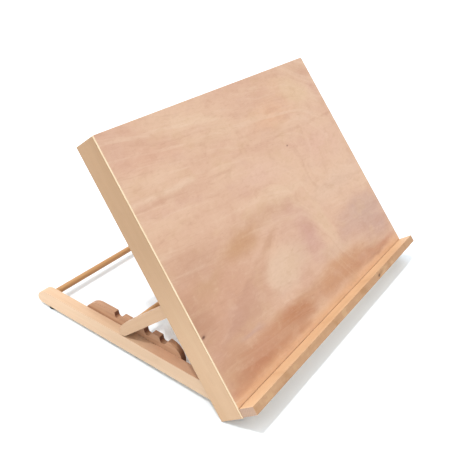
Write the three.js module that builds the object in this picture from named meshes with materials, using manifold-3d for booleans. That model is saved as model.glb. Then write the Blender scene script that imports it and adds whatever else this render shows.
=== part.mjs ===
// Table-top artist easel: a framed drawing board that leans on a folding prop,
// whose cross dowel drops into one of four notches in a pair of wooden racks.
// Millimetres, +Z up, front of the easel towards -Y, +X to the right of a person facing the board.
// The board stands on the back edge of its two side rails; the base stands on two rubber feet.
import * as THREE from 'three';
import { mergeVertices } from 'three/addons/utils/BufferGeometryUtils.js';
import Module from 'manifold-3d';

const wasm = await Module();
wasm.setup();

// ---- driving dimensions -------------------------------------------------------------
const BOARD_W = 500;            // overall width of the board
const BOARD_H = 371.6;          // height of the board along its slope
const BOARD_T = 38.5;           // thickness of the board frame with its panel
const PANEL_T = 3;              // plywood panel
const SIDE_T = 11;              // side, top and bottom frame rails
const BOTTOM_RAIL_H = 16;       // bottom frame rail, measured up the slope
const BOTTOM_RAIL_D = 15.7;     // bottom frame rail is shallow, the base passes behind it
const LEDGE_LOW = 1.2;          // ledge strip, lower and upper face up the slope
const LEDGE_HIGH = 12.3;
const LEDGE_OUT = 23.1;         // how far the ledge stands out from the panel
const LEDGE_W = 499.2;
const LEDGE_IN = 0.8;           // depth of the shallow rebate the ledge sits in

const RAIL_W = 15.4;            // base rails
const RAIL_TOP = 10.8;          // upper and lower face of a rail from its pivot line
const RAIL_BOTTOM = -9.9;
const RAIL_OUT_X = 237.5;       // outer face of a base rail from the centre plane
const RAIL_END = 337;           // rear end of a base rail from the board pivot
const RACK_T = 8.5;             // notched racks
const RACK_TOP = 25.5;          // tooth tops above the pivot line of the rail
const RACK_BOTTOM = -8.8;
const NOTCH_C = [116.8, 143.57, 170.34, 197.1]; // rear top corner of each notch from the pivot
const SEAT_BACK = 6.17;         // dowel seat centre ahead of that corner
const SEAT_Z = 22.6;            // height of the seat centre above the pivot line
const SEAT_R = 5.05;
const REST_NOTCH = 2;           // the notch the prop rests in, counted from the board

const DOWEL_R = 4.75;           // both dowels
const REAR_DOWEL = [319.5, 0.9];// rear dowel, along the rail and above the pivot line
const FOOT = 311.5;             // rubber foot, along the rail
const FOOT_R = 7.2;
const FOOT_H = 5;

const PIVOT_V = 17.8, PIVOT_N = -31;      // board pivot, up the slope and behind the panel face
const PROP_V = 146.2, PROP_N = -12.4;     // prop pivot
const BOARD_ANGLE = 50.81;                // board to base rail, degrees
const LEG_T = 10, LEG_W = 15.8;           // prop legs
const LEG_PAST = 10.6;                    // leg beyond the cross dowel

const GAP = 0.3;                          // clearance between pieces that touch
const RUN = 0.15;                         // radial clearance round a pivot screw

// ---- colours ------------------------------------------------------------------------
const wood = (hex, rough = 0.62) => new THREE.MeshStandardMaterial({ color: hex, roughness: rough, metalness: 0 });
const steel = () => new THREE.MeshStandardMaterial({ color: 0xb4b4b2, roughness: 0.32, metalness: 1 });
const PANEL_C = 0xc59a7e, SIDE_C = 0xd2b48f, RAIL_C = 0xe4c39c, RACK_C = 0xb98667, DOWEL_C = 0xb0713c, LEDGE_C = 0xcf9f70;

// ---- helpers ------------------------------------------------------------------------
const rad = THREE.MathUtils.degToRad;

function toManifold(geometry) {
  const g = geometry.clone();
  g.deleteAttribute('normal');
  g.deleteAttribute('uv');
  const m = mergeVertices(g, 1e-4);
  return new wasm.Manifold(new wasm.Mesh({
    numProp: 3,
    vertProperties: new Float32Array(m.attributes.position.array),
    triVerts: new Uint32Array(m.index.array),
  }));
}

function fromManifold(solid) {
  const mesh = solid.getMesh();
  const g = new THREE.BufferGeometry();
  g.setAttribute('position', new THREE.BufferAttribute(new Float32Array(mesh.vertProperties), 3));
  g.setIndex(new THREE.BufferAttribute(new Uint32Array(mesh.triVerts), 1));
  g.computeVertexNormals();
  return g;
}

function cut(geometry, tools) {
  let solid = toManifold(geometry);
  for (const t of tools) solid = solid.subtract(toManifold(t));
  return fromManifold(solid);
}

function box(x0, x1, y0, y1, z0, z1) {
  return new THREE.BoxGeometry(x1 - x0, y1 - y0, z1 - z0).translate((x0 + x1) / 2, (y0 + y1) / 2, (z0 + z1) / 2);
}

// A profile drawn in the Y-Z plane, extruded along X from x0 to x1.
const SIDEWAYS = new THREE.Matrix4().makeBasis(
  new THREE.Vector3(0, 1, 0), new THREE.Vector3(0, 0, 1), new THREE.Vector3(1, 0, 0));
function plank(shape, x0, x1, curveSegments = 10) {
  return new THREE.ExtrudeGeometry(shape, { depth: x1 - x0, bevelEnabled: false, steps: 1, curveSegments })
    .applyMatrix4(SIDEWAYS).translate(x0, 0, 0);
}

// A round bar along X.
function rodX(r, x0, x1, y, z, seg = 20) {
  return new THREE.CylinderGeometry(r, r, x1 - x0, seg).rotateZ(Math.PI / 2).translate((x0 + x1) / 2, y, z);
}

// Screw turned about the Y axis: the underside of its head is at y = 0, the shank runs to -Y.
function screwSolid(headR, headH, shankR, length, seg = 12) {
  const p = [
    [0, -length], [shankR, -length + 4], [shankR, 0], [headR, 0],
    [headR, headH * 0.35], [headR * 0.84, headH * 0.75], [headR * 0.5, headH], [0, headH],
  ].map(([r, y]) => new THREE.Vector2(r, y));
  const body = new THREE.LatheGeometry(p, seg);
  const slotL = headR * 1.15, slotW = headR * 0.26, deep = headH * 0.6;
  const bar = (l, w) => new THREE.BoxGeometry(l, deep * 2, w).translate(0, headH, 0);
  return cut(body, [bar(slotL, slotW), bar(slotW, slotL)]);
}

function washer(rIn, rOut, thick, seg = 20) {
  return new THREE.LatheGeometry([[rIn, 0], [rOut, 0], [rOut, thick], [rIn, thick], [rIn, 0]]
    .map(([r, y]) => new THREE.Vector2(r, y)), seg);
}

// Turn something built about +Y so that +Y points along +X (side = 1) or -X (side = -1).
const alongX = (g, side) => g.rotateZ(-side * Math.PI / 2);

function add(group, name, geometry, material) {
  const m = new THREE.Mesh(geometry, material);
  m.name = name;
  group.add(m);
  return m;
}

// ---- where the groups stand ----------------------------------------------------------
// The rail falls slightly towards the rear. Its slope follows from both contacts with the table:
// the back edge of the board's side rails and the rear feet.
const cornerV = -PIVOT_V, cornerN = -BOARD_T - PIVOT_N;
const footBottom = RAIL_BOTTOM - FOOT_H;
let slope = 0;
for (let i = 0; i < 40; i++) {
  const a = rad(BOARD_ANGLE) - slope;
  const corner = cornerV * Math.sin(a) + cornerN * Math.cos(a);
  slope = Math.asin((-corner + footBottom * Math.cos(slope)) / (FOOT + FOOT_R));
}
const boardAngle = rad(BOARD_ANGLE) - slope;
const pivotHeight = -(cornerV * Math.sin(boardAngle) + cornerN * Math.cos(boardAngle));
const ORIGIN_Y = 142.385;         // board pivot ahead of the middle of the footprint

const easel = new THREE.Group();
const base = new THREE.Group();   // local +Y runs back along the rail, +Z up, pivot at the origin
base.position.set(0, -ORIGIN_Y, pivotHeight);
base.rotation.x = -slope;
const board = new THREE.Group();  // local +Y runs up the board, +Z out of its face, origin at its lower front edge
const boardPivot = new THREE.Group();
boardPivot.position.copy(base.position);
boardPivot.rotation.x = boardAngle;
board.position.set(0, -PIVOT_V, -PIVOT_N);
boardPivot.add(board);
easel.add(base, boardPivot);

// prop geometry in the base frame
const th = rad(BOARD_ANGLE);
const pv = PROP_V - PIVOT_V, pn = PROP_N - PIVOT_N;
const propPivot = new THREE.Vector2(pv * Math.cos(th) - pn * Math.sin(th), pv * Math.sin(th) + pn * Math.cos(th));
const seat = new THREE.Vector2(NOTCH_C[REST_NOTCH] - SEAT_BACK, SEAT_Z);
const legVec = seat.clone().sub(propPivot);
const LEG_L = legVec.length();
const prop = new THREE.Group();   // local +Y runs down the leg, origin at the prop pivot
prop.position.set(0, propPivot.x, propPivot.y);
prop.rotation.x = Math.atan2(legVec.y, legVec.x);
base.add(prop);

// ---- board ----------------------------------------------------------------------------
const HALF = BOARD_W / 2;
const BACK = -BOARD_T;
const FRONT = -PANEL_T - GAP;     // front of the frame rails, behind the panel
const ledgeScrewX = [-200, -100, 0, 100, 200];
const ledgeScrewV = (LEDGE_LOW + LEDGE_HIGH) / 2;
const SMALL_R = 1.75, SMALL_HOLE = SMALL_R + 0.3;
const rodN = (r, n0, n1, x, v) => new THREE.CylinderGeometry(r, r, n1 - n0, 12).rotateX(Math.PI / 2).translate(x, v, (n0 + n1) / 2);

add(board, 'drawing_panel', cut(box(-HALF, HALF, 0, BOARD_H, -PANEL_T, 0), [
  box(-HALF - 1, HALF + 1, -1, LEDGE_HIGH + GAP, -LEDGE_IN, 1),
  ...ledgeScrewX.map((x) => rodN(SMALL_HOLE, -PANEL_T - 1, 1, x, ledgeScrewV)),
]), wood(PANEL_C, 0.6));

const PIN_R = 2.4;                // pivot screws
const PIN_DEPTH = 8;              // into the side rail
for (const [side, word] of [[-1, 'left'], [1, 'right']]) {
  const inner = HALF - SIDE_T, outer = HALF;
  const [x0, x1] = side < 0 ? [-outer, -inner] : [inner, outer];
  const hole = (v, n) => {
    const a = side * (inner - 1), b = side * (inner + PIN_DEPTH + GAP);
    return rodX(PIN_R + RUN, Math.min(a, b), Math.max(a, b), v, n);
  };
  add(board, `frame_side_rail_${word}`, cut(box(x0, x1, 0, BOARD_H, BACK, FRONT),
    [hole(PIVOT_V, PIVOT_N), hole(PROP_V, PROP_N)]), wood(SIDE_C));
}
const SPAN = HALF - SIDE_T - GAP;
add(board, 'frame_top_rail', box(-SPAN, SPAN, BOARD_H - SIDE_T, BOARD_H, BACK, FRONT), wood(SIDE_C));
add(board, 'frame_bottom_rail', cut(box(-SPAN, SPAN, 0, BOTTOM_RAIL_H, FRONT - BOTTOM_RAIL_D, FRONT),
  ledgeScrewX.map((x) => rodN(SMALL_HOLE, FRONT - BOTTOM_RAIL_D - 1, FRONT + 1, x, ledgeScrewV))), wood(SIDE_C));

const LEDGE_SCREW_IN = 13;
// The ledge's tongue sits in the rebate; its top face starts in front of the drawing face.
add(board, 'ledge', cut(box(-LEDGE_W / 2, LEDGE_W / 2, LEDGE_LOW, LEDGE_HIGH, GAP - LEDGE_IN, LEDGE_OUT), [
  box(-HALF, HALF, LEDGE_HIGH - LEDGE_IN, LEDGE_HIGH + 1, -LEDGE_IN, GAP),
  ...ledgeScrewX.map((x) => rodN(SMALL_HOLE, -1, LEDGE_SCREW_IN + GAP, x, ledgeScrewV)),
]), wood(LEDGE_C));
ledgeScrewX.forEach((x, i) => {
  const under = FRONT - BOTTOM_RAIL_D - GAP;
  const g = screwSolid(3.6, 2.2, SMALL_R, LEDGE_SCREW_IN - under).rotateX(-Math.PI / 2).translate(x, ledgeScrewV, under);
  add(board, `ledge_screw_${i + 1}`, g, steel());
});

// ---- base -----------------------------------------------------------------------------
const RAIL_IN_X = RAIL_OUT_X - RAIL_W;
const RACK_OUT_X = RAIL_IN_X - GAP;
const RACK_IN_X = RACK_OUT_X - RACK_T;
const rackScrews = [[92, 2], [158, 2], [236, 2]];   // along the rail, above the pivot line

function railShape() {
  const h = (RAIL_TOP - RAIL_BOTTOM) / 2, s = new THREE.Shape();
  s.moveTo(0, RAIL_BOTTOM);
  s.lineTo(RAIL_END - 7.5, RAIL_BOTTOM);
  s.absellipse(RAIL_END - 7.5, -3.4, 7.5, -3.4 - RAIL_BOTTOM, -Math.PI / 2, 0, false, 0);
  s.absellipse(RAIL_END - 18.5, -3.4, 18.5, RAIL_TOP + 3.4, 0, Math.PI / 2, false, 0);
  s.lineTo(0, RAIL_TOP);
  s.absarc(0, (RAIL_TOP + RAIL_BOTTOM) / 2, h, Math.PI / 2, Math.PI * 1.5, false);
  return s;
}

function rackShape() {
  const s = new THREE.Shape();
  const front = 77.8, crest = NOTCH_C[0] - 14.15;
  s.moveTo(front, RACK_BOTTOM);
  s.lineTo(254, RACK_BOTTOM);
  s.lineTo(254, 6.5);
  s.splineThru([[250.6, 10.8], [244.9, 16.9], [239, 21.4], [232.3, 24.4], [225, RACK_TOP]].map(([a, b]) => new THREE.Vector2(a, b)));
  // seats: a steep rear wall leaning back 17 degrees, a round seat, and a ramp at 33.5 degrees
  const lean = rad(17), ramp = rad(33.5);
  for (let i = NOTCH_C.length - 1; i >= 0; i--) {
    const c = NOTCH_C[i], cx = c - SEAT_BACK;
    s.lineTo(c + 0.5, RACK_TOP);
    s.lineTo(c - 0.15, RACK_TOP - 0.5);
    s.lineTo(cx + SEAT_R * Math.cos(lean), SEAT_Z - SEAT_R * Math.sin(lean));
    s.absarc(cx, SEAT_Z, SEAT_R, -lean, -(Math.PI - ramp), true);
    const tx = cx - SEAT_R * Math.cos(ramp), tz = SEAT_Z - SEAT_R * Math.sin(ramp);
    const up = RACK_TOP - tz;
    s.lineTo(tx - up * Math.tan(ramp), RACK_TOP);
  }
  s.absellipse(crest, 3, crest - front, RACK_TOP - 3, Math.PI / 2, Math.PI, false, 0);
  s.lineTo(front, RACK_BOTTOM);
  return s;
}

const DOWEL_IN = 10;              // rear dowel into each rail
for (const [side, word] of [[-1, 'left'], [1, 'right']]) {
  const xr = (a, b) => (side < 0 ? [-b, -a] : [a, b]);
  const [r0, r1] = xr(RAIL_IN_X, RAIL_OUT_X);
  const [h0, h1] = xr(RAIL_IN_X - 1, RAIL_IN_X + DOWEL_IN + GAP);
  const [s0, s1] = xr(RAIL_IN_X - 1, RAIL_IN_X + 10);
  const footHole = new THREE.CylinderGeometry(SMALL_HOLE, SMALL_HOLE, 12, 12)
    .rotateX(Math.PI / 2).translate(side * (RAIL_OUT_X - RAIL_W / 2), FOOT, RAIL_BOTTOM + 5);
  add(base, `base_rail_${word}`, cut(plank(railShape(), r0, r1, 12), [
    rodX(PIN_R + RUN, Math.min(r0, r1) - 1, Math.max(r0, r1) + 1, 0, 0),
    rodX(DOWEL_R + GAP, h0, h1, ...REAR_DOWEL),
    ...rackScrews.map(([y, z]) => rodX(SMALL_HOLE, s0, s1, y, z, 12)),
    footHole,
  ]), wood(RAIL_C));

  const [k0, k1] = xr(RACK_IN_X, RACK_OUT_X);
  add(base, `notched_rack_${word}`, cut(plank(rackShape(), k0, k1, 8),
    rackScrews.map(([y, z]) => rodX(SMALL_HOLE, k0 - 1, k1 + 1, y, z, 12))), wood(RACK_C));
  rackScrews.forEach(([y, z], i) => {
    const g = alongX(screwSolid(3.6, 2.2, SMALL_R, RACK_T + 2 * GAP + 9), -side);
    add(base, `rack_screw_${word}_${i + 1}`, g.translate(side * (RACK_IN_X - GAP), y, z), steel());
  });

  // rubber foot with its screw sunk in the middle
  const footP = [[SMALL_HOLE, 0], [FOOT_R, 0], [FOOT_R - 0.3, -FOOT_H * 0.55], [FOOT_R - 0.7, -FOOT_H + GAP],
    [3.7, -FOOT_H + GAP], [3.7, -1.5], [SMALL_HOLE, -1.5], [SMALL_HOLE, 0]].map(([r, y]) => new THREE.Vector2(r, y)).reverse();
  const xf = side * (RAIL_OUT_X - RAIL_W / 2);
  add(base, `rubber_foot_${word}`, new THREE.LatheGeometry(footP, 24).rotateX(Math.PI / 2)
    .translate(xf, FOOT, RAIL_BOTTOM - GAP), new THREE.MeshStandardMaterial({ color: 0x17171a, roughness: 0.85, metalness: 0 }));
  add(base, `foot_screw_${word}`, screwSolid(3.3, 1.6, SMALL_R, 11).rotateX(-Math.PI / 2)
    .translate(xf, FOOT, RAIL_BOTTOM - GAP - 1.5 - GAP), steel());
}
add(base, 'rear_dowel', rodX(DOWEL_R, -(RAIL_IN_X + DOWEL_IN), RAIL_IN_X + DOWEL_IN, ...REAR_DOWEL, 24), wood(DOWEL_C));

// ---- prop -----------------------------------------------------------------------------
function legShape() {
  const h = LEG_W / 2, e = LEG_L + LEG_PAST, s = new THREE.Shape();
  s.moveTo(0, -h);                       // lower edge, towards the rail
  s.lineTo(e - 7.6, -h);
  // blunt nose, with a longer sweep on the upper side
  s.splineThru([[-5.8, -7.75], [-3.2, -6.6], [-0.9, -4.5], [0, -1.9], [-1.1, 0.8],
    [-4.1, 3.5], [-8.4, 5.9], [-13.2, 7.4], [-17.5, h]].map(([a, b]) => new THREE.Vector2(e + a, b)));
  s.lineTo(0, h);
  s.absarc(0, 0, h, Math.PI / 2, Math.PI * 1.5, false);
  return s;
}
const LEG_IN_X = RAIL_OUT_X - LEG_T;
const PROP_DOWEL_IN = 7;
for (const [side, word] of [[-1, 'left'], [1, 'right']]) {
  const xr = (a, b) => (side < 0 ? [-b, -a] : [a, b]);
  const [l0, l1] = xr(LEG_IN_X, RAIL_OUT_X);
  const [h0, h1] = xr(LEG_IN_X - 1, LEG_IN_X + PROP_DOWEL_IN + GAP);
  add(prop, `prop_leg_${word}`, cut(plank(legShape(), l0, l1, 10), [
    rodX(PIN_R + RUN, l0 - 1, l1 + 1, 0, 0),
    rodX(DOWEL_R + GAP, h0, h1, LEG_L, 0),
  ]), wood(SIDE_C));
}
add(prop, 'prop_cross_dowel', rodX(DOWEL_R, -(LEG_IN_X + PROP_DOWEL_IN), LEG_IN_X + PROP_DOWEL_IN, LEG_L, 0, 24), wood(DOWEL_C));

// ---- pivot screws and washers, held in the board's side rails ---------------------------
function pivotSet(name, v, n, innerFace) {
  for (const [side, word] of [[-1, 'left'], [1, 'right']]) {
    const sideFace = HALF - SIDE_T;
    const headWasher = 0.9, under = innerFace - GAP - headWasher - 0.2;
    add(board, `${name}_pivot_screw_${word}`, alongX(screwSolid(4.3, 2.6, PIN_R, sideFace + PIN_DEPTH - under, 20), -side)
      .translate(side * under, v, n), steel());
    add(board, `${name}_head_washer_${word}`, alongX(washer(PIN_R + RUN, 5.4, headWasher), side)
      .translate(side * (innerFace - GAP - headWasher), v, n), steel());
    add(board, `${name}_spacer_washer_${word}`, alongX(washer(PIN_R + RUN, 6, 0.9), side)
      .translate(side * (RAIL_OUT_X + GAP), v, n), steel());
  }
}
pivotSet('base', PIVOT_V, PIVOT_N, RAIL_IN_X);
pivotSet('prop', PROP_V, PROP_N, LEG_IN_X);

export default easel;
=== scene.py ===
import math

import bpy
import numpy as np
from mathutils import Matrix, Vector


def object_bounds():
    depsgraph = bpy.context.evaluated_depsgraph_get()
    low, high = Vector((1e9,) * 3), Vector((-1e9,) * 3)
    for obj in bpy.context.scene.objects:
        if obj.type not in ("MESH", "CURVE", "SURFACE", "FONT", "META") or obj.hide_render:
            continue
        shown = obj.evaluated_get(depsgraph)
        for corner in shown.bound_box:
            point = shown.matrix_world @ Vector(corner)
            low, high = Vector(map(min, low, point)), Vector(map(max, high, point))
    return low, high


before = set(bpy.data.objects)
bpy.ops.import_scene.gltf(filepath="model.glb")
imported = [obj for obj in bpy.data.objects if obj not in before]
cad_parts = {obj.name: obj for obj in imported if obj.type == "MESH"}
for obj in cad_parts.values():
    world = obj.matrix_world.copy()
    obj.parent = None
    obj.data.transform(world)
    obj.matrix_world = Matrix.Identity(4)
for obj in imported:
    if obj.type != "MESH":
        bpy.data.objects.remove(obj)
cad_lo, cad_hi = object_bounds()

# ------------------------------------------------------------------------------------
# axes of the wooden pieces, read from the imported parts
# ------------------------------------------------------------------------------------
X = Vector((1, 0, 0))


def along_profile(node):
    """Length direction of a plank that is extruded along X: across its widest edge face."""
    best = {}
    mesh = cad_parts[node].data
    for p in mesh.polygons:
        n = p.normal
        if abs(n.x) < 0.1:
            key = (round(n.y, 2), round(n.z, 2))
            area, sums = best.get(key, (0.0, Vector()))
            best[key] = (area + p.area, sums + n * p.area)
    _, n = max(best.values(), key=lambda v: v[0])
    n.normalize()
    g = X.cross(n)
    if g.y < 0:
        g.negate()
    return g.normalized()


def extent(node, axis):
    co = [v.co.dot(axis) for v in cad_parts[node].data.vertices]
    return min(co), max(co)


UP = along_profile("frame_side_rail_left")        # up the board
OUT = X.cross(UP)                                 # out of the drawing face
RUN = along_profile("base_rail_left")             # back along the base rails
LEG = along_profile("prop_leg_left")              # along the prop legs
face_n = extent("drawing_panel", OUT)[1]
board_v = extent("drawing_panel", UP)
board_h = (board_v[1] - board_v[0]) * 1000
half_w = extent("drawing_panel", X)[1] * 1000
ledge_top = (extent("ledge", UP)[1] - board_v[0]) * 1000
FACE_ORIGIN = UP * board_v[0] + OUT * face_n      # lower edge of the face, on the centre plane


# ------------------------------------------------------------------------------------
# small node-building kit
# ------------------------------------------------------------------------------------
EXPOSURE = 0.78      # tones are given as they look under the lights, this turns them into surface colour


def lin(r, g, b, k=None):
    def one(c):
        c /= 255.0
        return c / 12.92 if c <= 0.04045 else ((c + 0.055) / 1.055) ** 2.4
    k = EXPOSURE if k is None else k
    return (one(r) * k, one(g) * k, one(b) * k, 1.0)


class Net:
    def __init__(self, name):
        self.mat = bpy.data.materials.new(name)
        self.mat.use_nodes = True
        self.tree = self.mat.node_tree
        self.tree.nodes.clear()
        self.coord = self.tree.nodes.new("ShaderNodeTexCoord")

    def new(self, kind, **settings):
        n = self.tree.nodes.new(kind)
        for k, v in settings.items():
            setattr(n, k, v)
        return n

    def put(self, socket, value):
        if isinstance(value, bpy.types.NodeSocket):
            self.tree.links.new(value, socket)
        else:
            socket.default_value = value

    def math(self, op, a, b=None, c=None, clamp=False):
        n = self.new("ShaderNodeMath", operation=op, use_clamp=clamp)
        for i, v in enumerate((a, b, c)):
            if v is not None:
                self.put(n.inputs[i], v)
        return n.outputs[0]

    def vec(self, op, a, b=None, scale=None):
        n = self.new("ShaderNodeVectorMath", operation=op)
        self.put(n.inputs[0], a)
        if b is not None:
            self.put(n.inputs[1], b)
        if scale is not None:
            self.put(n.inputs[3], scale)
        return n.outputs[1] if op in ("LENGTH", "DOT_PRODUCT", "DISTANCE") else n.outputs[0]

    def mix(self, fac, a, b, mode="MIX"):
        n = self.new("ShaderNodeMix", data_type="RGBA", blend_type=mode, clamp_factor=True)
        self.put(n.inputs[0], fac)
        self.put(n.inputs[6], a)
        self.put(n.inputs[7], b)
        return n.outputs[2]

    def remap(self, v, a, b, c=0.0, d=1.0, smooth=True):
        n = self.new("ShaderNodeMapRange", interpolation_type="SMOOTHSTEP" if smooth else "LINEAR")
        self.put(n.inputs[0], v)
        for i, x in zip((1, 2, 3, 4), (a, b, c, d)):
            self.put(n.inputs[i], x)
        return n.outputs[0]

    def ramp(self, fac, stops, mode="EASE"):
        n = self.new("ShaderNodeValToRGB")
        n.color_ramp.interpolation = mode
        e = n.color_ramp.elements
        while len(e) < len(stops):
            e.new(0.5)
        for el, (pos, col) in zip(e, stops):
            el.position, el.color = pos, col
        self.put(n.inputs[0], fac)
        return n.outputs[0]

    def place(self, rows, origin, scale=1000.0):
        """Object coordinates turned into millimetres along the three given axes, from origin."""
        m = Matrix(rows)
        n = self.new("ShaderNodeMapping", vector_type="POINT")
        n.inputs["Scale"].default_value = (scale,) * 3
        n.inputs["Rotation"].default_value = m.to_euler("XYZ")
        n.inputs["Location"].default_value = -(m @ Vector(origin)) * scale
        self.put(n.inputs["Vector"], self.coord.outputs["Object"])
        return n.outputs[0]

    def stretch(self, p, sx, sy, sz, ox=0.0, oy=0.0, oz=0.0):
        n = self.new("ShaderNodeMapping", vector_type="POINT")
        n.inputs["Scale"].default_value = (sx, sy, sz)
        n.inputs["Location"].default_value = (ox, oy, oz)
        self.put(n.inputs["Vector"], p)
        return n.outputs[0]

    def noise(self, p, scale=1.0, detail=2.0, rough=0.5, distortion=0.0, color=False):
        n = self.new("ShaderNodeTexNoise", noise_dimensions="3D")
        self.put(n.inputs["Vector"], p)
        self.put(n.inputs["Scale"], scale)
        self.put(n.inputs["Detail"], detail)
        self.put(n.inputs["Roughness"], rough)
        self.put(n.inputs["Distortion"], distortion)
        return n.outputs["Color" if color else "Fac"]

    def warp(self, p, freq, amount, seed=0.0):
        """p pushed about by a slow noise. amount is millimetres along each axis."""
        q = self.stretch(p, *freq, seed, seed * 1.7, seed * 0.6)
        c = self.noise(q, 1.0, 2.0, 0.5, 0.0, color=True)
        c = self.vec("SUBTRACT", c, (0.5, 0.5, 0.5))
        c = self.vec("MULTIPLY", c, tuple(2 * a for a in amount))
        return self.vec("ADD", p, c)

    def split(self, p):
        n = self.new("ShaderNodeSeparateXYZ")
        self.put(n.inputs[0], p)
        return n.outputs

    def blob(self, p, at, size, turn=0.0, hard=0.0):
        """1 inside a soft ellipse on the XY plane, 0 outside. size is half-axes in millimetres."""
        n = self.new("ShaderNodeMapping", vector_type="TEXTURE")
        n.inputs["Location"].default_value = (at[0], at[1], 0)
        n.inputs["Rotation"].default_value = (0, 0, math.radians(turn))
        n.inputs["Scale"].default_value = (size[0], size[1], 1e6)
        self.put(n.inputs["Vector"], p)
        d = self.vec("LENGTH", n.outputs[0])
        return self.remap(d, hard, 1.0, 1.0, 0.0)

    def edges(self, radius, low=0.02, high=0.25):
        """1 along outer edges, from the angle between the surface and its rounded stand-in."""
        b = self.new("ShaderNodeBevel", samples=4)
        b.inputs["Radius"].default_value = radius
        g = self.new("ShaderNodeNewGeometry")
        d = self.vec("DOT_PRODUCT", b.outputs[0], g.outputs["Normal"])
        return self.remap(self.math("SUBTRACT", 1.0, d), low, high)

    def facing(self, axis):
        """How squarely the surface faces along an axis of the part at rest, 0 to 1."""
        d = self.vec("DOT_PRODUCT", self.coord.outputs["Normal"], tuple(axis))
        return self.math("ABSOLUTE", d)

    def finish(self, color, rough, height=None, bump=0.3, depth=0.0003, **sockets):
        b = self.new("ShaderNodeBsdfPrincipled")
        self.put(b.inputs["Base Color"], color)
        self.put(b.inputs["Roughness"], rough)
        for k, v in sockets.items():
            b.inputs[k].default_value = v
        if height is not None:
            n = self.new("ShaderNodeBump")
            n.inputs["Strength"].default_value = bump
            n.inputs["Distance"].default_value = depth
            self.put(n.inputs["Height"], height)
            self.tree.links.new(n.outputs[0], b.inputs["Normal"])
        out = self.new("ShaderNodeOutputMaterial")
        self.tree.links.new(b.outputs[0], out.inputs["Surface"])
        return self.mat


# ------------------------------------------------------------------------------------
# solid wood: grain along the first axis, rings on the ends
# ------------------------------------------------------------------------------------
def wood(name, grain, across, origin, tones, end_tone, seed, contrast=1.0, band=0.07,
         streak=0.10, pores=0.12, rough=0.55, extra=None, pith=(35.0, -60.0), wear=0.5, painted_light_ramp=None):
    k = Net(name)
    third = grain.cross(across)
    p = k.place([grain, across, third], origin)
    w = k.warp(p, (0.006, 0.03, 0.03), (0.0, 4.0, 4.0), seed)

    broad = k.noise(k.stretch(w, 0.0035, band, band, seed, seed), 1.0, 3.0, 0.55)
    broad = k.remap(broad, 0.30, 0.70, 0.0, 1.0, smooth=False)
    color = k.ramp(broad, [(i / (len(tones) - 1), lin(*t)) for i, t in enumerate(tones)])

    # growth lines: sharp on one side, slow on the other
    line = k.noise(k.stretch(w, 0.0022, 0.34, 0.34, seed * 2, 3.1), 1.0, 4.0, 0.62)
    line_m = k.remap(line, 0.46, 0.60)
    color = k.mix(k.math("MULTIPLY", line_m, streak * contrast), color, lin(150, 98, 58), "MIX")
    fine = k.noise(k.stretch(w, 0.03, 2.4, 2.4, seed, 8.0), 1.0, 3.0, 0.6)
    shade = k.remap(fine, 0.30, 0.70, 1.0 - 0.09 * contrast, 1.0 + 0.05 * contrast, smooth=False)
    tint = k.new("ShaderNodeCombineColor")
    for i in range(3):
        k.put(tint.inputs[i], shade)
    color = k.mix(1.0, color, tint.outputs[0], "MULTIPLY")
    if painted_light_ramp:                                        # painted light and shade: the tone is multiplied by a ramp from the third entry to the fourth, between the first and second entry in mm along the grain
        t = k.remap(k.math("ADD", k.split(p)[0], k.math("MULTIPLY", broad, 30.0)), painted_light_ramp[0], painted_light_ramp[1])
        color = k.mix(1.0, color, k.mix(t, painted_light_ramp[2] + (1.0,), painted_light_ramp[3] + (1.0,)), "MULTIPLY")

    # pores: short dark dashes
    dash = k.noise(k.stretch(p, 0.16, 3.6, 3.6, seed, 1.0, 5.0), 1.0, 2.0, 0.5)
    dash = k.remap(dash, 0.63, 0.74)
    color = k.mix(k.math("MULTIPLY", dash, pores), color, lin(120, 74, 42))

    # ends: rings around a pith outside the section, a little darker
    ends = k.remap(k.facing(grain), 0.80, 0.95)
    s = k.split(p)
    ry = k.math("SUBTRACT", s[1], pith[0])
    rz = k.math("SUBTRACT", s[2], pith[1])
    rad = k.math("SQRT", k.math("ADD", k.math("MULTIPLY", ry, ry), k.math("MULTIPLY", rz, rz)))
    rad = k.math("ADD", rad, k.math("MULTIPLY", k.noise(k.stretch(p, 0.05, 0.12, 0.12)), 3.0))
    ring = k.math("FRACT", k.math("MULTIPLY", rad, 0.42))
    ring = k.remap(ring, 0.35, 1.0, 0.0, 1.0)
    speck = k.noise(k.stretch(p, 0.5, 5.0, 5.0), 1.0, 2.0, 0.6)
    end_c = k.mix(k.math("MULTIPLY", ring, 0.45), lin(*end_tone), lin(*(c * 0.78 for c in end_tone)))
    end_c = k.mix(k.remap(speck, 0.5, 0.75, 0.0, 0.35), end_c, lin(*(c * 0.6 for c in end_tone)))
    color = k.mix(ends, color, end_c)

    # arrises: rubbed paler, broken by noise, with small bruises
    rub = k.edges(0.0011)
    patchy = k.remap(k.noise(k.stretch(p, 0.09, 0.3, 0.3, seed), 1.0, 4.0, 0.7), 0.42, 0.66)
    rub = k.math("MULTIPLY", rub, k.math("ADD", 0.25, k.math("MULTIPLY", patchy, 0.75)))
    pale = k.mix(0.55, color, lin(246, 222, 188))
    color = k.mix(k.math("MULTIPLY", rub, wear), color, pale)
    dirt = k.remap(k.noise(k.stretch(p, 0.02, 0.05, 0.05, seed + 4), 1.0, 5.0, 0.65), 0.58, 0.78, 0.0, 0.14)
    color = k.mix(dirt, color, lin(128, 92, 62))
    if extra:
        color = extra(k, p, color)

    r = k.remap(fine, 0.25, 0.75, rough - 0.06, rough + 0.10, smooth=False)
    r = k.math("ADD", r, k.math("MULTIPLY", ends, 0.12), clamp=True)
    h = k.math("ADD", k.math("MULTIPLY", fine, 0.6), k.math("MULTIPLY", dash, -0.9))
    h = k.math("ADD", h, k.math("MULTIPLY", line, 0.5))
    return k.finish(color, r, h, 0.28, 0.00025, **{"Specular IOR Level": 0.38})


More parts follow.
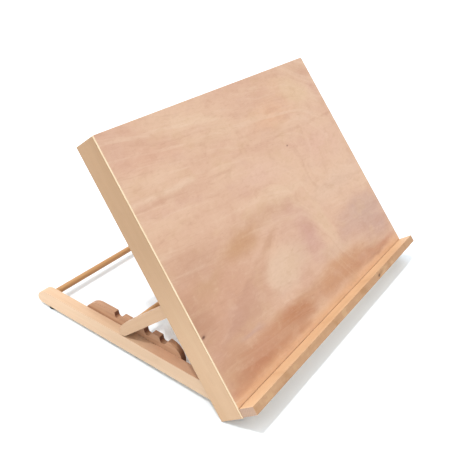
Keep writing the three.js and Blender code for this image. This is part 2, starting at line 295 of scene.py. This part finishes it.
# ------------------------------------------------------------------------------------
# plywood drawing panel: rotary-cut face veneer, bright layered edge
# ------------------------------------------------------------------------------------
def ply():
    k = Net("panel_face_veneer")
    p = k.place([X, UP, OUT], FACE_ORIGIN)          # x across, y up the board, z out of the face
    flat = k.vec("MULTIPLY", p, (1.0, 1.0, 0.0))
    soft = k.warp(flat, (0.010, 0.014, 0.0), (15.0, 8.0, 0.0), 4.4)
    w2 = k.warp(soft, (0.030, 0.045, 0.0), (13.0, 8.0, 0.0), 7.9)

    # growth contours: almost straight on the left, falling steeply right of the heart
    s = k.split(soft)
    drop = k.math("MULTIPLY", k.remap(s[0], 30.0, 118.0, 0.0, 100.0), k.remap(s[1], 285.0, 150.0))
    fall = k.math("MULTIPLY", k.remap(s[0], 160.0, 250.0, 0.0, 32.0), k.remap(s[1], 230.0, 300.0))
    level = k.math("ADD", k.math("ADD", s[1], drop), k.math("ADD", fall, k.math("MULTIPLY", s[0], 0.12)))
    flow = k.new("ShaderNodeCombineXYZ")
    k.put(flow.inputs[0], s[0])
    k.put(flow.inputs[1], level)
    w = k.warp(flow.outputs[0], (0.006, 0.020, 0.0), (16.0, 6.0, 0.0), 2.3)

    a = k.noise(k.stretch(w, 0.0060, 0.016, 1.0, 1.3, 0.4), 1.0, 3.0, 0.5, 0.4)
    color = k.ramp(k.remap(a, 0.32, 0.68, 0, 1, False), [
        (0.0, lin(220, 176, 149)), (0.35, lin(224, 182, 154)), (0.65, lin(227, 187, 158)), (1.0, lin(231, 195, 165))])

    def lay(c, at, size, tone, amount, turn=0.0, src=w2, hard=0.0):
        m = k.blob(src, at, size, turn, hard)
        return k.mix(k.math("MULTIPLY", m, amount), c, lin(*tone))

    # upper half: pale, with a cream lobe near the right corner
    color = lay(color, (-190, 318), (90, 24), (221, 172, 146), 0.55, 0)
    color = lay(color, (-60, 312), (90, 22), (226, 190, 158), 0.5, 4)
    color = lay(color, (95, 305), (95, 36), (227, 178, 144), 0.75, 3)
    color = lay(color, (150, 335), (80, 28), (224, 180, 146), 0.5, -18, w2, 0.3)
    color = lay(color, (178, 322), (44, 32), (229, 194, 160), 0.75, -30, w2, 0.45)
    color = lay(color, (236, 330), (30, 70), (215, 168, 146), 0.6, 8)
    color = lay(color, (-10, 232), (80, 26), (228, 187, 163), 0.8, -5, w2, 0.2)
    color = lay(color, (170, 228), (110, 48), (226, 182, 159), 0.8, -8)
    color = lay(color, (95, 250), (50, 10), (222, 176, 152), 0.5, -6)
    color = lay(color, (165, 158), (130, 30), (228, 192, 166), 0.85, 4)

    # lower left: brown, crossed by darker swirls
    color = lay(color, (-250, 170), (90, 90), (211, 165, 132), 0.6, 0, soft)
    color = lay(color, (-200, 120), (150, 108), (209, 160, 131), 0.85, 6, w2, 0.25)
    color = lay(color, (-215, 188), (70, 34), (211, 166, 138), 0.6, 0)
    color = lay(color, (-242, 122), (40, 56), (191, 142, 112), 0.85, 0)
    color = lay(color, (-100, 120), (46, 26), (208, 163, 134), 0.65, 10)
    color = lay(color, (-40, 176), (130, 26), (213, 170, 140), 0.75, -4, w2, 0.3)
    color = lay(color, (-116, 166), (62, 22), (202, 153, 114), 0.9, 2, w2, 0.2)
    color = lay(color, (-195, 152), (48, 22), (202, 158, 122), 0.7, 8)
    color = lay(color, (-60, 147), (58, 9), (202, 156, 124), 0.6, 14, w2, 0.1)
    color = lay(color, (-140, 116), (46, 7), (194, 146, 118), 0.45, 16)
    color = lay(color, (-165, 100), (80, 20), (200, 153, 131), 0.55, 10, w2, 0.0)
    color = lay(color, (-195, 84), (62, 12), (193, 147, 127), 0.5, 10, w2, 0.0)
    color = lay(color, (-170, 68), (40, 6), (205, 166, 150), 0.7, -8, w2, 0.3)

    color = lay(color, (-145, 84), (60, 26), (201, 156, 128), 0.55, 4)
    color = lay(color, (-200, 178), (66, 26), (203, 159, 132), 0.55, 2)

    # heart: pale wedge, mauve lobe, cream rim on its right
    color = lay(color, (8, 128), (74, 64), (219, 176, 151), 0.85, 0, w2, 0.35)
    color = lay(color, (-58, 103), (58, 35), (227, 192, 164), 1.0, 14, w2, 0.40)
    color = lay(color, (-10, 104), (52, 30), (220, 183, 158), 0.6, 6, w2, 0.0)
    color = lay(color, (28, 118), (36, 54), (211, 164, 146), 0.9, -6, w2, 0.05)
    color = lay(color, (18, 165), (26, 20), (213, 168, 146), 0.6, 10)
    color = lay(color, (76, 125), (15, 72), (226, 188, 158), 0.9, -4, w2, 0.3)
    color = lay(color, (30, 196), (80, 11), (230, 194, 164), 0.75, -10, w2, 0.3)

    # lower right: mauve grey
    color = lay(color, (185, 88), (95, 48), (210, 170, 150), 0.95, -4, w2, 0.3)
    color = lay(color, (200, 92), (84, 34), (204, 167, 148), 0.75, -6, w2, 0.0)
    color = lay(color, (222, 56), (46, 22), (206, 168, 154), 0.75, -8)
    color = lay(color, (118, 90), (48, 34), (209, 169, 149), 0.75, 20)
    color = lay(color, (60, 78), (60, 18), (212, 173, 150), 0.55, -6)

    color = lay(color, (190, 50), (95, 30), (202, 160, 140), 0.5, -4)

    # lower edge: warm orange brown, with a painted glow of light next to the ledge
    color = lay(color, (-150, 40), (150, 30), (202, 146, 110), 0.9, 2, w2, 0.35)
    color = lay(color, (-75, 45), (70, 24), (194, 133, 94), 0.85, -6, w2, 0.2)
    color = lay(color, (-185, 40), (60, 18), (197, 136, 102), 0.8, 0, w2, 0.2)
    color = lay(color, (60, 46), (120, 28), (207, 153, 114), 0.9, -2, w2, 0.35)
    color = lay(color, (130, 34), (90, 14), (203, 147, 113), 0.75, -5)
    color = lay(color, (195, 26), (90, 10), (203, 142, 110), 0.8, -3)
    color = lay(color, (-235, 26), (40, 10), (198, 138, 110), 0.7, 0)
    color = lay(color, (-222, 58), (70, 34), (198, 147, 113), 0.75, 0)
    color = lay(color, (-40, 58), (60, 18), (206, 158, 120), 0.6, 0)
    # painted light: the face is made paler and warmer from 32 mm above its lower edge down to 13 mm, next to the
    # ledge
    glow = k.remap(k.split(flat)[1], 32.0, 13.0)
    color = k.mix(k.math("MULTIPLY", glow, 0.65), color, lin(236, 188, 142))
    color = lay(color, (-90, 24), (44, 7), (198, 144, 108), 0.7, 0)
    color = lay(color, (165, 23), (76, 7), (196, 146, 118), 0.75, -2)
    color = lay(color, (222, 354), (60, 30), (214, 171, 141), 0.7, 0)

    # veneer figure along the contours
    high = k.remap(k.split(flat)[1], 120.0, 245.0, 0.35, 1.0)
    bands = k.noise(k.stretch(w, 0.0040, 0.060, 1.0, 9.0, 2.0), 1.0, 4.0, 0.62)
    color = k.mix(k.math("MULTIPLY", k.remap(bands, 0.53, 0.64), k.math("MULTIPLY", high, 0.34)), color, lin(238, 206, 178))
    color = k.mix(k.remap(bands, 0.46, 0.36, 0.0, 0.15), color, lin(196, 146, 118))
    gentle = k.split(k.warp(flat, (0.012, 0.020, 0.0), (0.0, 4.5, 0.0), 1.1))
    for at, half, tone, amount, x0, x1 in ((267, 2.2, (240, 210, 182), 0.45, -70, 10), (258, 1.2, (198, 148, 120), 0.30, -60, 0),
                                          (272, 1.4, (196, 144, 116), 0.34, 10, 60)):
        line = k.math("ADD", gentle[1], k.math("MULTIPLY", gentle[0], 0.035))
        near = k.remap(k.math("ABSOLUTE", k.math("SUBTRACT", line, float(at))), half * 0.4, half * 3.0, 1.0, 0.0)
        side_on = k.remap(s[0], x0, x1, 1.0, 0.0) if x0 < 0 else k.remap(s[0], x0, x1)
        broken = k.remap(k.noise(k.stretch(w2, 0.02, 0.05, 1.0, at), 1.0, 2.0, 0.5), 0.40, 0.62)
        color = k.mix(k.math("MULTIPLY", k.math("MULTIPLY", near, side_on), k.math("MULTIPLY", broken, amount)), color, lin(*tone))
    thin = k.noise(k.stretch(w, 0.0030, 0.26, 1.0, 3.0, 6.0), 1.0, 5.0, 0.66)
    color = k.mix(k.remap(thin, 0.56, 0.70, 0.0, 0.11), color, lin(176, 124, 98))
    color = k.mix(k.remap(thin, 0.43, 0.30, 0.0, 0.16), color, lin(240, 212, 186))
    # flecks and pores, with the grain
    fleck = k.noise(k.stretch(w2, 0.055, 0.62, 1.0, 1.0, 2.0), 1.0, 3.0, 0.6)
    color = k.mix(k.remap(fleck, 0.56, 0.72, 0.0, 0.15), color, lin(168, 116, 90))
    color = k.mix(k.remap(fleck, 0.40, 0.27, 0.0, 0.13), color, lin(243, 216, 192))
    mottle = k.noise(k.stretch(w2, 0.035, 0.060, 1.0, 6.0, 2.0), 1.0, 4.0, 0.6)
    color = k.mix(k.remap(mottle, 0.50, 0.68, 0.0, 0.17), color, lin(190, 138, 106))
    color = k.mix(k.remap(mottle, 0.48, 0.32, 0.0, 0.16), color, lin(238, 204, 176))
    grit = k.noise(k.stretch(flat, 0.16, 0.20, 1.0, 2.0, 7.0), 1.0, 4.0, 0.65)
    color = k.mix(k.remap(grit, 0.52, 0.72, 0.0, 0.13), color, lin(178, 126, 98))
    color = k.mix(k.remap(grit, 0.46, 0.28, 0.0, 0.12), color, lin(242, 212, 186))
    hue = k.noise(k.stretch(flat, 0.020, 0.034, 1.0, 8.0, 3.0), 1.0, 3.0, 0.6)
    color = k.mix(k.remap(hue, 0.52, 0.68, 0.0, 0.20), color, lin(214, 174, 134))
    color = k.mix(k.remap(hue, 0.46, 0.32, 0.0, 0.16), color, lin(216, 172, 154))
    dash = k.noise(k.stretch(p, 0.11, 2.6, 1.0), 1.0, 2.0, 0.5)
    dash = k.remap(dash, 0.60, 0.72)
    color = k.mix(k.math("MULTIPLY", dash, 0.16), color, lin(140, 92, 66))

    # two pin knots
    for (kx, ky), r in (((-246, 103), 2.6), ((86, 249), 1.5)):
        color = lay(color, (kx, ky), (r * 3.2, r * 1.6), (150, 98, 74), 0.45, 8, flat)
        color = lay(color, (kx, ky), (r * 1.6, r * 0.9), (96, 58, 44), 0.8, 8, flat, 0.2)

    # edge: pale core between thin face veneers
    z = k.split(p)[2]
    side = k.remap(k.facing(OUT), 0.80, 0.55)
    core = k.noise(k.stretch(p, 0.05, 0.05, 2.2), 1.0, 3.0, 0.6)
    edge_c = k.ramp(core, [(0.3, lin(238, 208, 166)), (0.7, lin(252, 231, 196))])
    glue = k.math("ABSOLUTE", k.math("SUBTRACT", k.math("ABSOLUTE", k.math("ADD", z, 1.5)), 0.78))
    edge_c = k.mix(k.remap(glue, 0.16, 0.05, 0.0, 0.55), edge_c, lin(178, 132, 92))
    color = k.mix(side, color, edge_c)

    # back of the sheet: plainer and paler
    back = k.remap(z, -2.6, -2.9)
    back_n = k.noise(k.stretch(p, 0.004, 0.16, 1.0, 4.0), 1.0, 4.0, 0.6)
    back_c = k.ramp(back_n, [(0.3, lin(206, 160, 126)), (0.7, lin(226, 188, 154))])
    color = k.mix(k.math("MULTIPLY", back, k.math("SUBTRACT", 1.0, side)), color, back_c)

    rub = k.edges(0.0010)
    patchy = k.remap(k.noise(k.stretch(p, 0.06, 0.06, 0.1), 1.0, 4.0, 0.7), 0.40, 0.62)
    color = k.mix(k.math("MULTIPLY", k.math("MULTIPLY", rub, patchy), 0.5), color, lin(244, 220, 190))

    r = k.remap(fleck, 0.25, 0.75, 0.46, 0.60, smooth=False)
    r = k.math("ADD", r, k.math("MULTIPLY", side, 0.15), clamp=True)
    h = k.math("ADD", k.math("MULTIPLY", fleck, 0.6), k.math("MULTIPLY", dash, -0.8))
    h = k.math("ADD", h, k.math("MULTIPLY", thin, 0.6))
    return k.finish(color, r, h, 0.22, 0.0002, **{"Specular IOR Level": 0.36})


# ------------------------------------------------------------------------------------
# metal and rubber
# ------------------------------------------------------------------------------------
def steel():
    k = Net("zinc_plated_steel")
    p = k.place([X, Vector((0, 1, 0)), Vector((0, 0, 1))], (0, 0, 0))
    cloud = k.noise(k.stretch(p, 0.5, 0.5, 0.5), 1.0, 4.0, 0.6)
    scratch = k.noise(k.stretch(p, 0.6, 7.0, 7.0), 1.0, 3.0, 0.6)
    color = k.ramp(cloud, [(0.3, lin(158, 156, 150, 1.0)), (0.55, lin(186, 184, 178, 1.0)), (0.75, lin(205, 203, 196, 1.0))])
    rub = k.edges(0.0004)
    color = k.mix(k.math("MULTIPLY", rub, 0.5), color, lin(228, 227, 222, 1.0))
    r = k.math("ADD", k.remap(cloud, 0.3, 0.7, 0.24, 0.40, False), k.remap(scratch, 0.5, 0.75, 0.0, 0.12), clamp=True)
    return k.finish(color, r, scratch, 0.15, 0.00005, Metallic=1.0)


def rubber():
    k = Net("black_rubber")
    p = k.place([X, Vector((0, 1, 0)), Vector((0, 0, 1))], (0, 0, 0))
    grit = k.noise(k.stretch(p, 2.4, 2.4, 2.4), 1.0, 4.0, 0.65)
    dust = k.noise(k.stretch(p, 0.22, 0.22, 0.22, 5.0), 1.0, 4.0, 0.6)
    color = k.ramp(grit, [(0.3, lin(17, 17, 19, 1.0)), (0.7, lin(33, 32, 34, 1.0))])
    color = k.mix(k.remap(dust, 0.50, 0.72, 0.0, 0.22), color, lin(120, 112, 102, 1.0))
    color = k.mix(k.math("MULTIPLY", k.edges(0.0006), 0.35), color, lin(74, 72, 72, 1.0))
    r = k.remap(grit, 0.3, 0.7, 0.72, 0.90, False)
    return k.finish(color, r, grit, 0.35, 0.00012, **{"Specular IOR Level": 0.35})


def ledge_shade_and_marks(k, p, color):
    """Painted shade on the front face of the ledge, patchy tone, a small brown knot and a pale sap streak on the
    ledge.
    """
    s = k.split(p)
    flat = k.new("ShaderNodeCombineXYZ")
    k.put(flat.inputs[0], s[0])
    k.put(flat.inputs[1], s[1])
    front = k.remap(k.facing(OUT), 0.70, 0.90)
    # painted shade: the front face is made darker than the top, where less light falls
    color = k.mix(front, color, k.mix(1.0, color, (0.66, 0.575, 0.52, 1.0), "MULTIPLY"))
    patch = k.noise(k.stretch(flat.outputs[0], 0.016, 0.06, 1.0, 4.0), 1.0, 3.0, 0.6)
    color = k.mix(k.remap(patch, 0.50, 0.70, 0.0, 0.30), color, lin(202, 150, 104))
    color = k.mix(k.remap(patch, 0.48, 0.30, 0.0, 0.25), color, lin(240, 200, 156))
    face = k.noise(k.stretch(flat.outputs[0], 0.030, 0.03, 1.0, 7.0), 1.0, 3.0, 0.6)
    color = k.mix(k.math("MULTIPLY", front, k.remap(face, 0.52, 0.64, 0.0, 0.45)), color, lin(172, 122, 70))
    color = k.mix(k.math("MULTIPLY", front, k.remap(face, 0.46, 0.36, 0.0, 0.35)), color, lin(222, 184, 138))
    m = k.blob(flat.outputs[0], (112, 5.5), (19.0, 4.5), 8)
    color = k.mix(k.math("MULTIPLY", m, 0.55), color, lin(150, 98, 58))
    m = k.blob(flat.outputs[0], (105, 4.6), (5.5, 2.8), 14, 0.2)
    return k.mix(k.math("MULTIPLY", m, 0.85), color, lin(92, 56, 34))


def rail_top_painted_shade(k, p, color):
    """Painted shade: the upper face of a base rail is made darker and redder under the board, where the board's
    shadow falls on it.
    """
    up = k.remap(k.vec("DOT_PRODUCT", k.coord.outputs["Normal"], tuple(X.cross(RUN))), 0.80, 0.95)
    near = k.remap(k.split(p)[0], 175.0, 110.0)
    # painted shade, full ahead of 110 mm along the rail and gone by 175 mm, on the upper face only
    return k.mix(k.math("MULTIPLY", up, near), color, k.mix(1.0, color, (0.88, 0.74, 0.70, 1.0), "MULTIPLY"))


def rack_end_grain_and_shade(k, p, color):
    """Sawn end grain on the front walls of the notches and on the front nose: darker and redder, partly for the end
    grain and partly as painted shade on these forward-facing faces.
    """
    d = k.vec("DOT_PRODUCT", k.coord.outputs["Normal"], tuple(-RUN))
    # painted shade: only the faces that look forward are darkened
    return k.mix(k.remap(d, 0.35, 0.85, 0.0, 0.85), color, k.mix(1.0, color, (0.50, 0.40, 0.38, 1.0), "MULTIPLY"))


def low(node, axis):
    return extent(node, axis)[0]


side_o = UP * board_v[0] + OUT * face_n
rail_o = RUN * low("base_rail_left", RUN)
ledge_o = UP * low("ledge", UP) + OUT * face_n
leg_o = LEG * low("prop_leg_left", LEG)
Y, Z = Vector((0, 1, 0)), Vector((0, 0, 1))

M = {}
SIDE_TONES = [(200, 161, 122), (204, 166, 127), (207, 169, 131), (210, 173, 135)]
# painted light: the side rails are paler towards the bottom of the board and darker towards the top, from 70 to 260
# mm up it
M["frame"] = wood("frame_lengthwise", UP, X, side_o, SIDE_TONES, (206, 168, 130), 1.7, contrast=0.5, band=0.045,
                  streak=0.05, painted_light_ramp=(70.0, 260.0, (1.07, 1.08, 1.12), (0.84, 0.80, 0.76)))
M["frame_x"] = wood("frame_crosswise", X, UP, side_o, SIDE_TONES, (206, 168, 130), 5.1, contrast=0.5, band=0.045, streak=0.05)
M["ledge"] = wood("ledge_wood_grain", X, UP, ledge_o,
                  [(231, 188, 144), (235, 192, 149), (238, 196, 153), (241, 200, 158)],
                  (196, 160, 136), 9.3, contrast=0.5, band=0.05, streak=0.06, extra=ledge_shade_and_marks)
# painted light: the base rails are paler towards the rear, from 180 to 330 mm along the rail; their upper face gets
# painted shade under the board
M["rail"] = wood("base_rail_grain", RUN, X, rail_o,
                 [(216, 181, 148), (220, 186, 153), (223, 190, 157), (226, 194, 161)],
                 (226, 192, 158), 3.9, contrast=0.5, band=0.05, streak=0.05,
                 painted_light_ramp=(180.0, 330.0, (1.0, 1.0, 1.0), (1.16, 1.16, 1.16)), extra=rail_top_painted_shade)
M["leg"] = wood("prop_leg_grain", LEG, X, leg_o,
                [(202, 163, 128), (206, 168, 132), (209, 171, 136), (212, 175, 139)],
                (210, 172, 138), 6.6, contrast=0.5, band=0.06, streak=0.06)
M["rack"] = wood("rack_grain", RUN, X, rail_o,
                 [(182, 134, 102), (192, 145, 112), (201, 156, 122), (208, 165, 133)],
                 (168, 120, 92), 8.2, contrast=0.8, band=0.12, streak=0.14, wear=0.35, extra=rack_end_grain_and_shade)
M["dowel"] = wood("dowel_grain", X, Y, (0, 0, 0),
                  [(189, 136, 85), (199, 148, 95), (208, 157, 104), (215, 166, 114)],
                  (176, 122, 84), 2.2, contrast=0.8, band=0.20, streak=0.16, wear=0.3)
M["ply"] = ply()
M["steel"] = steel()
M["rubber"] = rubber()

PICK = {
    "drawing_panel": "ply", "ledge": "ledge", "rear_dowel": "dowel", "prop_cross_dowel": "dowel",
    "frame_top_rail": "frame_x", "frame_bottom_rail": "frame_x",
    "frame_side_rail_left": "frame", "frame_side_rail_right": "frame",
    "base_rail_left": "rail", "base_rail_right": "rail",
    "prop_leg_left": "leg", "prop_leg_right": "leg",
    "notched_rack_left": "rack", "notched_rack_right": "rack",
    "rubber_foot_left": "rubber", "rubber_foot_right": "rubber",
}
BEVEL = {"ply": 0.00035, "frame": 0.0007, "frame_x": 0.0007, "ledge": 0.0004, "rail": 0.0009, "leg": 0.0008,
         "rack": 0.0006, "dowel": 0.0006, "steel": 0.00012, "rubber": 0.0003}


def smooth_group(limit):
    """Geometry nodes: drops the imported normals and shades smooth below the given edge angle."""
    g = bpy.data.node_groups.new("soft_edges", "GeometryNodeTree")
    g.interface.new_socket("Geometry", in_out="INPUT", socket_type="NodeSocketGeometry")
    g.interface.new_socket("Geometry", in_out="OUTPUT", socket_type="NodeSocketGeometry")
    n, l = g.nodes, g.links
    a, z = n.new("NodeGroupInput"), n.new("NodeGroupOutput")
    drop = n.new("GeometryNodeRemoveAttribute")
    drop.inputs["Name"].default_value = "custom_normal"
    merge = n.new("GeometryNodeMergeByDistance")
    merge.inputs["Distance"].default_value = 0.00002
    faces = n.new("GeometryNodeSetShadeSmooth")
    faces.domain = "FACE"
    faces.inputs["Shade Smooth"].default_value = True
    angle = n.new("GeometryNodeInputMeshEdgeAngle")
    more = n.new("FunctionNodeCompare")
    more.data_type, more.operation = "FLOAT", "GREATER_THAN"
    more.inputs[1].default_value = limit
    edges = n.new("GeometryNodeSetShadeSmooth")
    edges.domain = "EDGE"
    edges.inputs["Shade Smooth"].default_value = False
    soft = n.new("GeometryNodeSetShadeSmooth")
    soft.domain = "EDGE"
    soft.inputs["Shade Smooth"].default_value = True
    l.new(a.outputs[0], drop.inputs[0])
    l.new(drop.outputs[0], merge.inputs[0])
    l.new(merge.outputs[0], faces.inputs[0])
    l.new(faces.outputs[0], soft.inputs[0])
    l.new(soft.outputs[0], edges.inputs[0])
    l.new(angle.outputs["Unsigned Angle"], more.inputs[0])
    l.new(more.outputs[0], edges.inputs["Selection"])
    l.new(edges.outputs[0], z.inputs[0])
    return g


SOFT = smooth_group(math.radians(32))
for name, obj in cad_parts.items():
    kind = PICK.get(name, "steel")
    for s in obj.material_slots:
        s.material = M[kind]
    m = obj.modifiers.new("soft_edges", "NODES")
    m.node_group = SOFT
    b = obj.modifiers.new("arris", "BEVEL")
    b.width, b.segments = BEVEL[kind], 2
    b.limit_method, b.angle_limit = "ANGLE", math.radians(34)
    b.harden_normals = True
    b.use_clamp_overlap = True


# ------------------------------------------------------------------------------------
# floor, light, camera
# ------------------------------------------------------------------------------------
def floor():
    mesh = bpy.data.meshes.new("floor")
    r = 14.0
    mesh.from_pydata([(-r, -r, 0), (r, -r, 0), (r, r, 0), (-r, r, 0)], [], [(0, 1, 2, 3)])
    o = bpy.data.objects.new("floor", mesh)
    bpy.context.scene.collection.objects.link(o)
    o.location.z = cad_lo.z - 0.0003
    mat = bpy.data.materials.new("floor_white")
    mat.use_nodes = True
    b = mat.node_tree.nodes["Principled BSDF"]
    b.inputs["Base Color"].default_value = (0.865, 0.935, 0.985, 1)
    b.inputs["Roughness"].default_value = 0.9
    b.inputs["Specular IOR Level"].default_value = 0.1
    mesh.materials.append(mat)
    return o


floor()

world = bpy.data.worlds.new("studio")
bpy.context.scene.world = world
world.use_nodes = True
bg = world.node_tree.nodes["Background"]
bg.inputs[0].default_value = (0.985, 0.992, 1.0, 1)
# a soft box overhead: brightest at the zenith, dimmer towards the horizon
sky = world.node_tree.nodes.new("ShaderNodeTexCoord")
part = world.node_tree.nodes.new("ShaderNodeSeparateXYZ")
world.node_tree.links.new(sky.outputs["Generated"], part.inputs[0])
rise = world.node_tree.nodes.new("ShaderNodeMath")
rise.operation, rise.use_clamp = "MAXIMUM", False
world.node_tree.links.new(part.outputs[2], rise.inputs[0])
rise.inputs[1].default_value = 0.0
square = world.node_tree.nodes.new("ShaderNodeMath")
square.operation = "POWER"
world.node_tree.links.new(rise.outputs[0], square.inputs[0])
square.inputs[1].default_value = 1.6
glow = world.node_tree.nodes.new("ShaderNodeMath")
glow.operation = "MULTIPLY_ADD"
world.node_tree.links.new(square.outputs[0], glow.inputs[0])
glow.inputs[1].default_value = 1.0
glow.inputs[2].default_value = 0.55
side = world.node_tree.nodes.new("ShaderNodeVectorMath")     # wide window behind and to the left
side.operation = "DOT_PRODUCT"
world.node_tree.links.new(sky.outputs["Generated"], side.inputs[0])
side.inputs[1].default_value = (-0.60, 0.80, 0.0)
lit = world.node_tree.nodes.new("ShaderNodeMath")
lit.operation = "MAXIMUM"
world.node_tree.links.new(side.outputs[1], lit.inputs[0])
lit.inputs[1].default_value = 0.0
total = world.node_tree.nodes.new("ShaderNodeMath")
total.operation = "MULTIPLY_ADD"
world.node_tree.links.new(lit.outputs[0], total.inputs[0])
total.inputs[1].default_value = 1.0
world.node_tree.links.new(glow.outputs[0], total.inputs[2])
seen = world.node_tree.nodes.new("ShaderNodeLightPath")       # the backdrop itself is plain white
white = world.node_tree.nodes.new("ShaderNodeMix")
world.node_tree.links.new(seen.outputs["Is Camera Ray"], white.inputs[0])
world.node_tree.links.new(total.outputs[0], white.inputs[2])
white.inputs[3].default_value = 1.05
world.node_tree.links.new(white.outputs[0], bg.inputs[1])


def sun(name, direction, strength, angle, color=(1, 1, 1)):
    d = bpy.data.lights.new(name, "SUN")
    d.energy, d.angle, d.color = strength, math.radians(angle), color
    o = bpy.data.objects.new(name, d)
    bpy.context.scene.collection.objects.link(o)
    o.rotation_mode = "QUATERNION"
    o.rotation_quaternion = Vector(direction).to_track_quat("-Z", "Y")
    return o


sun("overhead", (0.40, -0.045, -1.0), 1.2, 2.4)

cam_data = bpy.data.cameras.new("camera")
cam = bpy.data.objects.new("camera", cam_data)
bpy.context.scene.collection.objects.link(cam)
RIGHT = Vector((0.5911059, -0.80467009, 0.05567636))
DOWN = Vector((-0.2938876, -0.27914106, -0.91417194))
AHEAD = Vector((0.75114838, 0.52400984, -0.40148449))
rot = Matrix((RIGHT, -DOWN, -AHEAD)).transposed()
cam.matrix_world = Matrix.Translation((-0.74218, -0.45175, 0.60162)) @ rot.to_4x4()
cam_data.sensor_width = 36.0
cam_data.lens = 645.968 * 36.0 / 460.0
cam_data.shift_x = (230.0 - 210.544) / 460.0
cam_data.shift_y = (153.164 - 230.0) / 460.0
cam_data.clip_start, cam_data.clip_end = 0.01, 60.0
bpy.context.scene.camera = cam

bpy.context.scene.view_settings.view_transform = "Standard"
bpy.context.scene.view_settings.look = "None"
